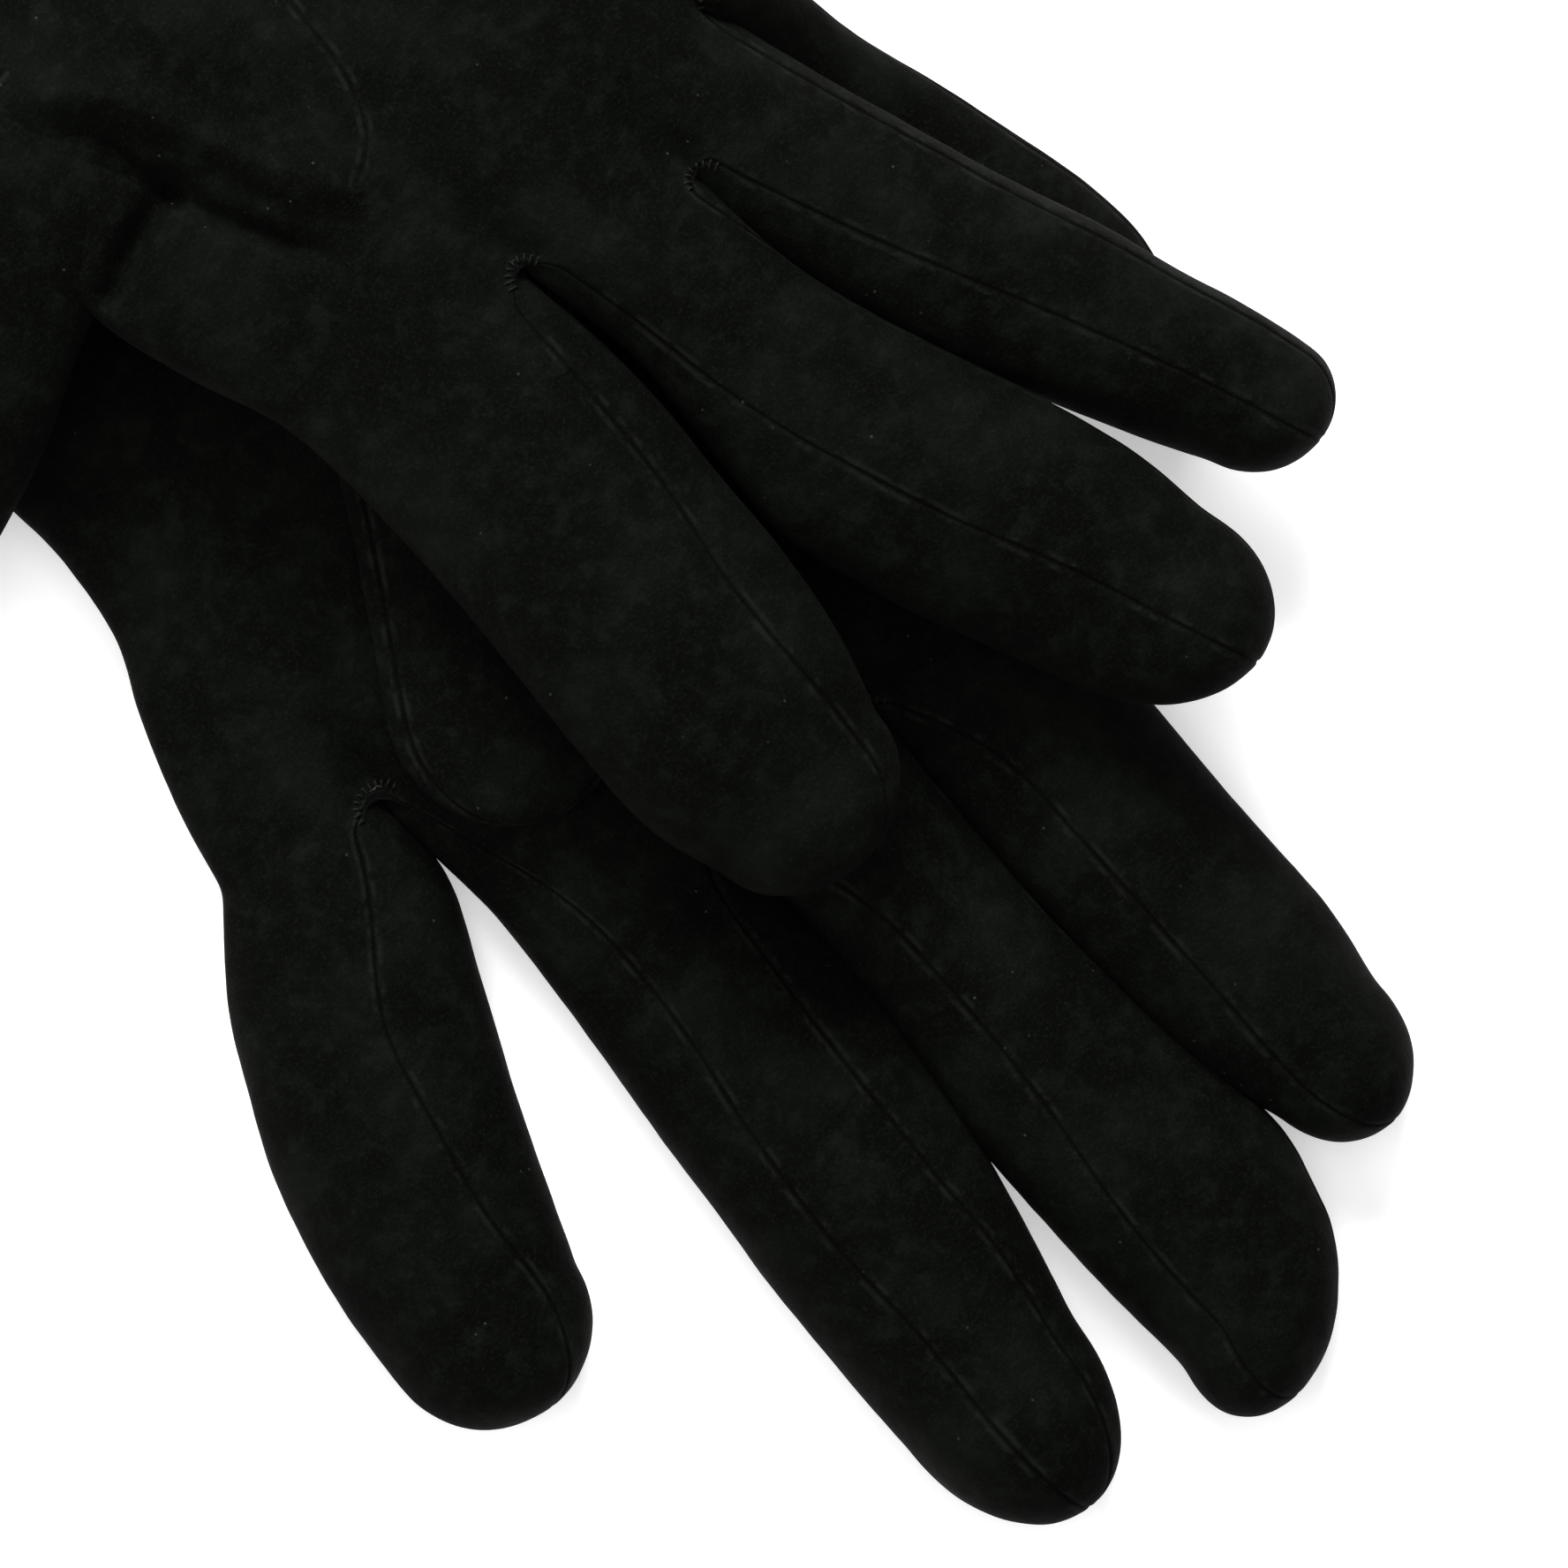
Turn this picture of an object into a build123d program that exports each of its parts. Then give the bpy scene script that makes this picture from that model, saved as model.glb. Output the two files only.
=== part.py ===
"""A pair of leather dress gloves at rest: the left glove palm up, the right glove palm up across it.

+Y runs from the cuffs to the fingertips, +Z is up and the table is Z = 0. Plan points are in
millimetres in the layout's own coordinates, and LAYOUT_CENTER moves them to the part's origin,
the middle of the underside of its bounding box. Each glove is cut like a real one: a palm panel
and a back panel, with strips between them that form the sides of the fingers, a turned hem at
the cuff and a lining. Each finger bends at its middle joint, so its end part is made apart.
"""

import math
import os
from typing import NamedTuple

from build123d import *

os.makedirs("parts", exist_ok=True)

LEATHER = 1.0  # thickness of the leather
LINING = 0.6  # thickness of the knitted lining
DEPTH = 12.0  # outside depth of a relaxed hand or finger
FLAT_DEPTH = 8.4  # depth of a finger pressed between two layers
GAP = 0.3  # clearance between parts that move against each other
HEM = 14.0  # depth of the turned hem inside the cuff
TIP_BLUNTNESS = 0.85  # length of a round tip over its half width
LAYOUT_CENTER = (2.9, -17.0)

LEFT_TOP = DEPTH  # height of the left glove's palm side
PRESSED_TOP = LEFT_TOP + GAP + FLAT_DEPTH  # top of what lies between the gloves
RIGHT_BASE = PRESSED_TOP + GAP  # height of the right glove's underside
RIGHT_TOP = RIGHT_BASE + DEPTH

ABOVE = RIGHT_TOP + 10  # taller than everything
BEYOND = 200.0  # wider than everything


class Finger(NamedTuple):
    """A finger or thumb. root and joint are None and the start where it has no part in the hand."""

    name: str
    root: tuple  # middle of the finger where it leaves the palm
    root_width: float
    joint: tuple  # middle of the finger at the joint where it bends
    joint_width: float
    tip: tuple  # the finger's end
    tip_width: float
    top: float  # height of the palm side at the joint
    depth: float = DEPTH
    droop: float = 0.0  # degrees that the end part hangs below level


class Glove(NamedTuple):
    """A glove's hand. Its sides run from the cuff to the fingers."""

    name: str
    index_side: list
    little_side: list
    crotches: list  # the palm's edge between the fingers, from the little to the index side
    lie: list  # (y, z) along the underside, from the cuff to the fingers
    fingers: list


LEFT_GLOVE = Glove(
    name="left",
    index_side=[(-48, -113), (-44, -78), (-42, -40), (-37, -10), (-34, 20), (-32, 48)],
    little_side=[(38, -113), (37.5, -80), (41.6, -36), (44, -17), (54, 0), (58, 10)],
    crotches=[(37, 24), (18.5, 46), (-6.5, 48)],
    lie=[(-113, 0), (120, 0)],
    fingers=[
        Finger("index", (-20, 42), 25, (-16.1, 84), 25, (-14, 125), 24.5, LEFT_TOP),
        Finger("middle", (4, 42), 21.5, (8, 84), 21.5, (15, 138), 23.5, LEFT_TOP),
        Finger("ring", (24, 20), 29, (34, 84), 28.5, (42.5, 129), 27, LEFT_TOP),
        Finger("little", (37, 6), 29, (60, 36.5), 29, (75, 75.5), 27, LEFT_TOP),
        Finger("thumb", None, 0, (-12, -20), 29, (27.5, 30.5), 28, PRESSED_TOP, FLAT_DEPTH),
    ],
)
RIGHT_GLOVE = Glove(
    name="right",
    index_side=[
        (8, -172),
        (5, -130),
        (7, -100),
        (11.5, -76),
        (12.5, -58),
        (10.5, -42),
        (12, -22),
        (13, -4),
    ],
    little_side=[(-78, -172), (-77.5, -130), (-76, -95), (-71, -55), (-65, -25), (-60, -8)],
    crotches=[(-55.5, -6), (-38.5, -6), (-17.5, -8)],
    lie=[(-172, 0), (-142, 0), (-100, RIGHT_BASE), (120, RIGHT_BASE)],
    fingers=[
        Finger("index", (-2, -16), 30, (1.8, 27), 31, (6, 62), 29, RIGHT_TOP),
        Finger("middle", (-28, -14), 19.5, (-30.6, 37.5), 28.5, (-40.6, 79), 26, RIGHT_TOP, DEPTH, 10.5),
        Finger("ring", (-47, -14), 16.5, (-55, 30), 20, (-63.5, 67.5), 19.5, RIGHT_TOP, DEPTH, 15.0),
        Finger("little", None, 0, (-50.5, -9), 24, (-57.5, 44), 22, PRESSED_TOP, 10.0, 10.0),
        Finger("thumb", (-8, -60), 30, (17, -56), 30, (67.5, -44), 28, RIGHT_TOP, DEPTH, 12.0),
    ],
)


def placed(point):
    """A layout point in the part's own coordinates."""
    return (point[0] - LAYOUT_CENTER[0], point[1] - LAYOUT_CENTER[1])


def unit(start, end):
    """The direction from one plan point to another."""
    run = math.dist(start, end)
    return ((end[0] - start[0]) / run, (end[1] - start[1]) / run)


def across(point, direction, distance):
    """The point that lies a distance to the right of a line of this direction."""
    return (point[0] + direction[1] * distance, point[1] - direction[0] * distance)


def stub_outline(finger, inset):
    """Plan of the part of a finger that belongs to the hand, open at the joint."""
    root = placed(finger.root)
    joint = placed(finger.joint)
    lead = unit(root, joint)
    bend = unit(joint, placed(finger.tip))
    root_half = finger.root_width / 2 - inset
    joint_half = finger.joint_width / 2 - inset
    with BuildSketch(mode=Mode.PRIVATE) as outline:
        with BuildLine():
            Polyline(
                across(root, lead, -root_half),
                across(root, lead, root_half),
                across(joint, bend, joint_half),
                across(joint, bend, -joint_half),
                close=True,
            )
        make_face()
    return outline.sketch


def hand_outline(glove, inset):
    """Plan of a hand with the near parts of its fingers. Only the closed edges are set in."""
    inward = inset if glove.little_side[0][0] < glove.index_side[0][0] else -inset
    little = [placed((x + inward, y)) for x, y in glove.little_side]
    index = [placed((x - inward, y)) for x, y in glove.index_side]
    between = [placed((x, y - inset)) for x, y in glove.crotches]
    with BuildSketch(mode=Mode.PRIVATE) as outline:
        with BuildLine():
            Spline(*little)
            Polyline(little[-1], *between, index[-1])
            Spline(*index)
            Line(index[0], little[0])
        make_face()
        for finger in glove.fingers:
            if finger.root:
                add(stub_outline(finger, inset))
    return outline.sketch


def lie_outline(glove, low, high):
    """Side view of a layer of the hand, between two heights above its underside."""
    lie = [(placed((0, y))[1], z) for y, z in glove.lie]
    with BuildSketch(mode=Mode.PRIVATE) as outline:
        with BuildLine():
            under = [(y, z + low) for y, z in lie]
            over = [(y, z + high) for y, z in reversed(lie)]
            Polyline(*under, *over, close=True)
        make_face()
    return outline.sketch


def hand_layer(glove, inset, low, high):
    """A solid of the hand's plan, set in from its edges, between two heights above its underside."""
    with BuildPart(mode=Mode.PRIVATE) as layer:
        with BuildSketch():
            add(hand_outline(glove, inset))
        extrude(amount=ABOVE)
        with BuildSketch(Plane.YZ):
            add(lie_outline(glove, low, high))
        extrude(amount=BEYOND, both=True, mode=Mode.INTERSECT)
    return layer.part


def finish(part, name):
    """Names a finished piece and writes it."""
    part.label = name
    export_step(part, f"parts/{name}.step")


def make_hand(glove, strip_names):
    """The pieces of a hand: its two panels, the strips between them, its lining and its hem."""
    with BuildPart() as palm_panel:
        add(hand_layer(glove, 0, DEPTH - LEATHER, DEPTH))
    finish(palm_panel.part, f"{glove.name}_palm_panel")

    with BuildPart() as back_panel:
        add(hand_layer(glove, 0, 0, LEATHER))
    finish(back_panel.part, f"{glove.name}_back_panel")

    with BuildPart() as walls:
        add(hand_layer(glove, 0, LEATHER, DEPTH - LEATHER))
        add(hand_layer(glove, LEATHER, 0, DEPTH), mode=Mode.SUBTRACT)
    strips = walls.part.solids().sort_by(Axis.X)
    for strip, name in zip(strips, strip_names, strict=True):
        with BuildPart() as side_strip:
            add(strip)
        finish(side_strip.part, f"{glove.name}_{name}")

    skin = LEATHER + LINING
    cuff = placed(glove.index_side[0])[1]
    with BuildPart() as inside:
        add(hand_layer(glove, LEATHER, LEATHER, DEPTH - LEATHER))
        add(hand_layer(glove, skin, skin, DEPTH - skin), mode=Mode.SUBTRACT)
    with BuildPart() as lining:
        add(inside.part)
        split(bisect_by=Plane.XZ.offset(-cuff - HEM), keep=Keep.BOTTOM)
    finish(lining.part, f"{glove.name}_hand_lining")

    with BuildPart() as hem:
        add(inside.part)
        split(bisect_by=Plane.XZ.offset(-cuff - HEM), keep=Keep.TOP)
    finish(hem.part, f"{glove.name}_cuff_hem")


def finger_plane(finger):
    """The underside of a finger's end part: X runs to the tip and Z to the palm side."""
    x, y = placed(finger.joint)
    dx, dy = unit(finger.joint, finger.tip)
    cosine = math.cos(math.radians(finger.droop))
    sine = math.sin(math.radians(finger.droop))
    up = Vector(dx * sine, dy * sine, cosine)
    along = (dx * cosine, dy * cosine, -sine)
    return Plane(origin=Vector(x, y, finger.top) - up * finger.depth, x_dir=along, z_dir=up)


def finger_outline(finger, inset):
    """Plan of a finger's end part, open at the joint and round at the tip."""
    droop = math.radians(finger.droop)
    start = GAP + finger.depth * math.sin(droop)
    end = math.dist(finger.joint, finger.tip) / math.cos(droop) - inset
    near = finger.joint_width / 2 - inset
    far = finger.tip_width / 2 - inset
    shoulder = end - far * TIP_BLUNTNESS
    with BuildSketch(mode=Mode.PRIVATE) as outline:
        with BuildLine():
            Polyline((shoulder, -far), (start, -near), (start, near), (shoulder, far))
            ThreePointArc((shoulder, far), (end, 0), (shoulder, -far))
        make_face()
    return outline.sketch


def make_finger(glove, finger):
    """The pieces of a finger's end part: front, back, side strip and lining."""
    name = f"{glove.name}_{finger.name}"
    plane = finger_plane(finger)
    skin = LEATHER + LINING

    with BuildPart() as front:
        with BuildSketch(plane.offset(finger.depth - LEATHER)):
            add(finger_outline(finger, 0))
        extrude(amount=LEATHER)
    finish(front.part, f"{name}_front")

    with BuildPart() as back:
        with BuildSketch(plane):
            add(finger_outline(finger, 0))
        extrude(amount=LEATHER)
    finish(back.part, f"{name}_back")

    with BuildPart() as side_strip:
        with BuildSketch(plane.offset(LEATHER)):
            add(finger_outline(finger, 0))
            add(finger_outline(finger, LEATHER), mode=Mode.SUBTRACT)
        extrude(amount=finger.depth - 2 * LEATHER)
    finish(side_strip.part, f"{name}_side_strip")

    with BuildPart() as lining:
        with BuildSketch(plane.offset(LEATHER)):
            add(finger_outline(finger, LEATHER))
        extrude(amount=finger.depth - 2 * LEATHER)
        with BuildSketch(plane.offset(skin)):
            add(finger_outline(finger, skin))
        extrude(amount=finger.depth - 2 * skin, mode=Mode.SUBTRACT)
    finish(lining.part, f"{name}_lining")


make_hand(
    LEFT_GLOVE,
    [
        "thumb_edge",
        "index_middle_fourchette",
        "middle_ring_fourchette",
        "ring_little_fourchette",
        "little_edge",
    ],
)
make_hand(
    RIGHT_GLOVE,
    ["little_edge", "middle_ring_fourchette", "index_middle_fourchette", "wrist_edge", "thumb_web"],
)
for glove in (LEFT_GLOVE, RIGHT_GLOVE):
    for finger in glove.fingers:
        make_finger(glove, finger)
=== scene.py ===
"""A pair of black leather dress gloves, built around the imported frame.

The left glove lies palm up on the table, and the right glove lies palm up across it. Plan points
are in millimetres in the layout's coordinates, whose point LAYOUT_CENTER is the frame's origin.
Left and right edges are named as seen from above with the fingertips at the top.
"""

import math
from typing import NamedTuple

import bpy
import numpy as np
from mathutils import Matrix, Vector, noise
from mathutils.bvhtree import BVHTree


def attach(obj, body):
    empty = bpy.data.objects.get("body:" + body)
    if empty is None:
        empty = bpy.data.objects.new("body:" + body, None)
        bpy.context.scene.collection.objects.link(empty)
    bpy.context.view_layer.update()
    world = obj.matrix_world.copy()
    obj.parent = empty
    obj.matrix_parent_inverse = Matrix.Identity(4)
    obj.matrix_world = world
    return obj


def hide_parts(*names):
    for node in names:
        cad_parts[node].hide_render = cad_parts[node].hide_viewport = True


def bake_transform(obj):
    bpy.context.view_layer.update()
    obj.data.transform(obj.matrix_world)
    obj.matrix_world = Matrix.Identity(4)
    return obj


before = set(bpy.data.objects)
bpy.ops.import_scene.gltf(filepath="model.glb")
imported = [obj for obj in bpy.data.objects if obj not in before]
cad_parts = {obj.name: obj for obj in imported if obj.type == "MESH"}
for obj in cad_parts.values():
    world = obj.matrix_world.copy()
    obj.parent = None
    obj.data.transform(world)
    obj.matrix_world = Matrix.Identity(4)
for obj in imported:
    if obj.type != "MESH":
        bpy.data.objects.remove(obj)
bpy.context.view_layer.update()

MM = 0.001
LAYOUT_CENTER = (2.9, -17.0)

# The mesh grid. A panel is the leather on the front or back of a finger; a wall is the
# fourchette strip around its side. Both have tight loops beside the seams.
SEAM_LOOPS = (0.0, 0.45, 1.1, 2.3)  # mm from a seam
PANEL_CELLS = 14
WALL_CELLS = 10
RING_CELLS = 2 * (PANEL_CELLS + WALL_CELLS)
ROW_STEP = 2.1  # mm between rings
CAP_RINGS = 9

# Sections
FINGER_SQUARENESS = 1.08  # 1 is an ellipse, less is squarer
PALM_SQUARENESS = 0.62
UNDERSIDE_SQUARENESS = 0.50
MIDDLE = 0.46  # height of the widest line over the depth
PALM_EDGE = 0.965  # where the palm's side begins, over its half width
BACK_SEAM = 0.90  # seam on the back of a finger over its half width
RESTING = 0.6  # height of the leather's underside where it lies on the table
ROOT_BLEND = 13.0  # mm over which a finger grows out of the palm
WEB_BLEND = 16.0  # mm over which the palm takes the shape of the finger roots
CROTCH_DIP = 3.2  # mm that the leather dips at a crotch
CROTCH_WALL = 10.0  # mm from the palm side to the back at a crotch

GROOVE, GROOVE_WIDTH = 0.17, 0.22
LIP, LIP_AT, LIP_WIDTH = 0.022, 0.80, 0.50
LEATHER = 1.0
LINING_INSET = 1.5  # mm from the leather's outside to the lining
HEM_DEPTH = 14.0
HEM_STITCH = 9.0  # mm from the cuff's edge to its running stitch
HEM = 9  # part number of the hem's faces
HEM_SKIN = 0.25  # thickness of the hem's inner edge over the leather's
NO_SEAM = 9.0  # seam distance in mm where no seam is near
LEATHER_LEVELS, LINING_LEVELS = 2, 1  # subdivisions
TURN_STEPS = 121  # points over half a section


class Station(NamedTuple):
    """A cut across a finger: its two edges in plan, its underside and depth, and its seams."""

    left: tuple
    right: tuple
    under: float
    depth: float
    left_seam: float = -0.95  # place of the seam on the palm side, from -1 to 1 across
    right_seam: float = 0.95


class Finger(NamedTuple):
    name: str
    stations: list
    tip: tuple
    tip_rise: float = 1.0  # mm that the tip's middle lies above the last station's


class Glove(NamedTuple):
    name: str
    left_side: list  # the palm's edges from the fingers to the cuff
    right_side: list
    roots: list  # the palm's edge across the finger roots, from left to right
    fingers: list


S = Station
LEFT_GLOVE = Glove(
    name="left",
    left_side=[(-32, 46), (-34, 20), (-38, -10), (-43, -40), (-44.5, -75), (-48, -113)],
    right_side=[
        (57.5, 9.5), (54, 0), (49, -10), (44.3, -18), (41.8, -28), (41.3, -40), (38, -78), (38, -113),
    ],
    roots=[(-32, 46), (-8, 50), (14, 48), (37.9, 14.4), (57.5, 9.5)],
    fingers=[
        Finger("index", [
            S((-32, 46), (-8, 50), RESTING, 11.5, -0.97, 0.9),
            S((-30.6, 62), (-5.4, 66), RESTING, 12.0, -0.97, 0.38),
            S((-29, 78), (-3.5, 80), RESTING, 13.0, -0.97, 0.31),
            S((-27, 94), (-2.4, 95), RESTING, 13.5, -0.97, 0.33),
            S((-25.3, 105), (-2.5, 106), RESTING, 13.5, -0.97, 0.39),
            S((-22.8, 114.5), (-4.2, 116.5), RESTING, 13.0, -0.97, 0.55),
        ], (-13.4, 126.1)),
        Finger("middle", [
            S((-8, 50), (14, 48), RESTING, 11.5, -0.99, 0.9),
            S((-5.8, 66), (16, 64), RESTING, 12.0, -0.99, 0.38),
            S((-4.0, 80), (18.4, 79), RESTING, 13.0, -0.99, 0.26),
            S((-3.0, 95), (21.6, 94), RESTING, 13.5, -0.99, 0.26),
            S((-3.0, 106), (23.2, 107), RESTING, 13.5, -0.99, 0.40),
            S((-3.4, 117.5), (24.1, 118), RESTING, 13.2, -0.99, 0.50),
            S((0, 127.5), (24.4, 127.5), RESTING, 13.0, -0.99, 0.48),
        ], (17.3, 139.0)),
        Finger("ring", [
            S((14, 48), (37.9, 14.4), RESTING, 11.5, -0.85, 0.82),
            S((14.8, 56), (38.9, 32), RESTING, 12.0, -0.62, 0.42),
            S((15.2, 68), (42.3, 52), RESTING, 13.0, -0.49, 0.34),
            S((17.4, 80), (46, 70), RESTING, 13.5, -0.50, 0.40),
            S((20.8, 93), (49.2, 87), RESTING, 14.0, -0.58, 0.38),
            S((24.7, 105), (52, 103), RESTING, 14.0, -0.70, 0.25),
            S((28.4, 114.5), (52.6, 111), RESTING, 13.8, -0.74, 0.22),
        ], (43.0, 130.0)),
        Finger("little", [
            S((37.9, 14.4), (57.5, 9.5), RESTING, 11.5, -0.72, 0.97),
            S((38.4, 27), (65.5, 17.3), RESTING, 12.0, -0.34, 0.97),
            S((44.6, 38.5), (72, 27), RESTING, 12.8, -0.17, 0.97),
            S((51.5, 49.8), (78.4, 38), RESTING, 13.4, -0.32, 0.97),
            S((57, 59), (83, 50.5), RESTING, 13.4, -0.45, 0.97),
            S((62.0, 68), (85.8, 62.5), RESTING, 13.0, -0.66, 0.97),
        ], (76.3, 76.8)),
    ],
)
RIGHT_GLOVE = Glove(
    name="right",
    left_side=[(-62, -14), (-66, -30), (-71, -55), (-76, -95), (-77.5, -130), (-78, -172)],
    right_side=[
        (13.2, -8), (13.2, -20), (16, -31), (18, -42), (15.5, -58),
        (12, -76), (7, -100), (5, -130), (8, -172),
    ],
    roots=[(-62, -14), (-53.5, -16), (-38.5, -4), (-17.5, -12), (13.2, -8)],
    fingers=[
        Finger("little", [
            S((-62, -14), (-53.5, -16), 20.3, 11.0, -0.95, 0.9),
            S((-62.8, -2), (-50, -4), 11.5, 8.6, -0.8, 0.9),
            S((-65.3, 9), (-45.5, 7), 7.6, 9.2, -0.7, 0.9),
            S((-67.2, 20), (-45, 19), 5.0, 9.4, -0.66, 0.9),
            S((-68.6, 31), (-46, 31), 2.6, 9.4, -0.66, 0.9),
            S((-68.4, 37.5), (-47.5, 37.5), 1.4, 9.2, -0.66, 0.9),
            S((-66.6, 43.5), (-50, 43.5), 1.0, 8.8, -0.66, 0.9),
        ], (-58.5, 52.5)),
        Finger("ring", [
            S((-53.5, -16), (-38.5, -4), 20.3, 11.5, -0.8, 0.75),
            S((-56.8, 2), (-37.2, 6), 18.6, 11.6, -0.87, 0.40),
            S((-60, 14), (-38.6, 18), 16.8, 11.8, -0.87, 0.24),
            S((-63, 26), (-41.4, 30), 15.8, 11.8, -0.87, 0.12),
            S((-66.8, 40), (-45.8, 41), 14.2, 12.0, -0.87, 0.10),
            S((-69.6, 51), (-50.4, 52), 12.4, 12.0, -0.87, 0.12),
            S((-71, 59.5), (-54.2, 60.5), 11.0, 11.8, -0.87, 0.15),
        ], (-64.2, 67.9)),
        Finger("middle", [
            S((-38.5, -4), (-17.5, -12), 20.3, 11.8, -0.8, 0.74),
            S((-38.3, 8), (-18.6, 4), 20.0, 12.4, -0.99, 0.66),
            S((-40.1, 20), (-16.8, 17), 19.4, 12.8, -0.99, 0.46),
            S((-42.8, 30), (-14.8, 29), 18.6, 13.0, -0.99, 0.24),
            S((-46.3, 42), (-17.5, 42.5), 17.0, 13.2, -0.99, 0.21),
            S((-48.7, 55), (-21.2, 55), 15.2, 13.2, -0.99, 0.12),
            S((-49.1, 64), (-24.8, 65.5), 13.8, 13.0, -0.99, 0.07),
        ], (-40.5, 79.3)),
        Finger("index", [
            S((-17.5, -12), (13.2, -8), 20.3, 12.0, -0.8, 0.97),
            S((-18, 3), (14, 3), 20.4, 13.0, -0.67, 0.97),
            S((-16.1, 18), (16.2, 18), 20.4, 13.4, -0.64, 0.97),
            S((-14.2, 31), (18.2, 31), 19.8, 13.4, -0.55, 0.97),
            S((-11.2, 42.5), (19.3, 42.5), 19.0, 13.2, -0.61, 0.97),
            S((-7.6, 51.5), (17.6, 50.5), 17.4, 12.8, -0.71, 0.97),
        ], (5.2, 61.6)),
    ],
)
# The thumbs are sewn onto the palms: the left one lies folded over its palm, the right one
# stands out to the side. left is the edge nearer to the fingertips of the right thumb.
LEFT_THUMB = Finger("thumb", [
    S((-35.5, -29.3), (-15.1, -45.3), 5.0, 6.0, -0.85, 0.85),
    S((-28.5, -15.6), (-6.0, -33.1), 10.6, 7.0, -0.85, 0.85),
    S((-15.0, -1.0), (7.4, -18.5), 12.3, 6.4, -0.85, 0.85),
    S((-2.7, 14.8), (19.7, -2.7), 12.3, 6.2, -0.85, 0.85),
    S((7.7, 28.2), (30.1, 10.7), 12.3, 6.2, -0.85, 0.85),
], (27.8, 30.8), 0.0)
RIGHT_THUMB = Finger("thumb", [
    S((-9, -50.5), (-8, -74), 20.5, 8.0, -0.97, 0.5),
    S((0.6, -46.4), (4, -76), 20.5, 11.0, -0.97, 0.5),
    S((9, -45.2), (12, -76), 20.0, 12.6, -0.97, 0.5),
    S((20, -42.7), (23, -73.2), 18.8, 13.6, -0.97, 0.47),
    S((31, -38.8), (35, -69), 16.4, 14.0, -0.97, 0.42),
    S((42, -36), (47, -65.2), 13.2, 14.0, -0.97, 0.42),
    S((52, -34.8), (56.5, -61), 10.2, 13.6, -0.97, 0.45),
    S((59, -35.4), (62.5, -58), 8.6, 13.0, -0.97, 0.5),
], (70.5, -45.5), -0.6)


# ---------------------------------------------------------------- small helpers


def smooth(a, b, x):
    """0 below a, 1 above b, and a smooth step between."""
    u = np.clip((np.asarray(x, float) - a) / (b - a), 0, 1)
    return u * u * (3 - 2 * u)


def through(knots, values, at):
    """A smooth curve through values at knots, read at each of at."""
    knots, values, at = np.asarray(knots, float), np.asarray(values, float), np.asarray(at, float)
    slopes = np.gradient(values, knots, axis=0)
    i = np.clip(np.searchsorted(knots, at, side="right") - 1, 0, len(knots) - 2)
    h = (knots[i + 1] - knots[i])[:, None]
    u = ((at - knots[i]) / h[:, 0])[:, None]
    start, end = values[i], values[i + 1]
    return (
        start * (2 * u**3 - 3 * u**2 + 1)
        + slopes[i] * h * (u**3 - 2 * u**2 + u)
        + end * (3 * u**2 - 2 * u**3)
        + slopes[i + 1] * h * (u**3 - u**2)
    )


def lengths(points):
    """Distance along a polyline at each of its points."""
    steps = np.linalg.norm(np.diff(np.asarray(points, float), axis=0), axis=1)
    return np.concatenate([[0], np.cumsum(steps)])


def spread(cells, length):
    """cells + 1 places from 0 to 1 over a panel of this length, close together beside its seams."""
    scale = min(1.0, length / (3.4 * SEAM_LOOPS[-1]))
    near = np.array(SEAM_LOOPS) * scale / max(length, 1e-6)
    middle = np.linspace(near[-1], 1 - near[-1], cells - 2 * (len(near) - 1) + 1)
    return np.concatenate([near, middle[1:-1], 1 - near[::-1]])


# ---------------------------------------------------------------- glove surfaces


class Profile(NamedTuple):
    """The shape of a finger's root: columns of place across, -1 to 1, and height, 0 to 1."""

    top: np.ndarray
    bottom: np.ndarray


def root_profile(ring, outer):
    """The profile of a root ring. outer says whether its left and right sides are the hand's edge."""
    middle, across = frame_of(ring)
    place = (ring[:, :2] - middle) @ across
    place = place / np.abs(place).max()
    low = ring[:, 2].min()
    height = (ring[:, 2] - low) / np.ptp(ring[:, 2])
    k = np.arange(len(ring))
    on_side = (outer[1] & (k > PANEL_CELLS) & (k < PANEL_CELLS + WALL_CELLS)) | (
        outer[0] & (k > 2 * PANEL_CELLS + WALL_CELLS)
    )
    on_top = (k <= PANEL_CELLS) | (on_side & (height >= MIDDLE))
    on_bottom = (k >= PANEL_CELLS + WALL_CELLS) & (k <= 2 * PANEL_CELLS + WALL_CELLS)
    on_bottom |= on_side & (height < MIDDLE)
    both = [np.array(sorted(zip(place[chosen], height[chosen]))) for chosen in (on_top, on_bottom)]
    return Profile(*both)


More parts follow.
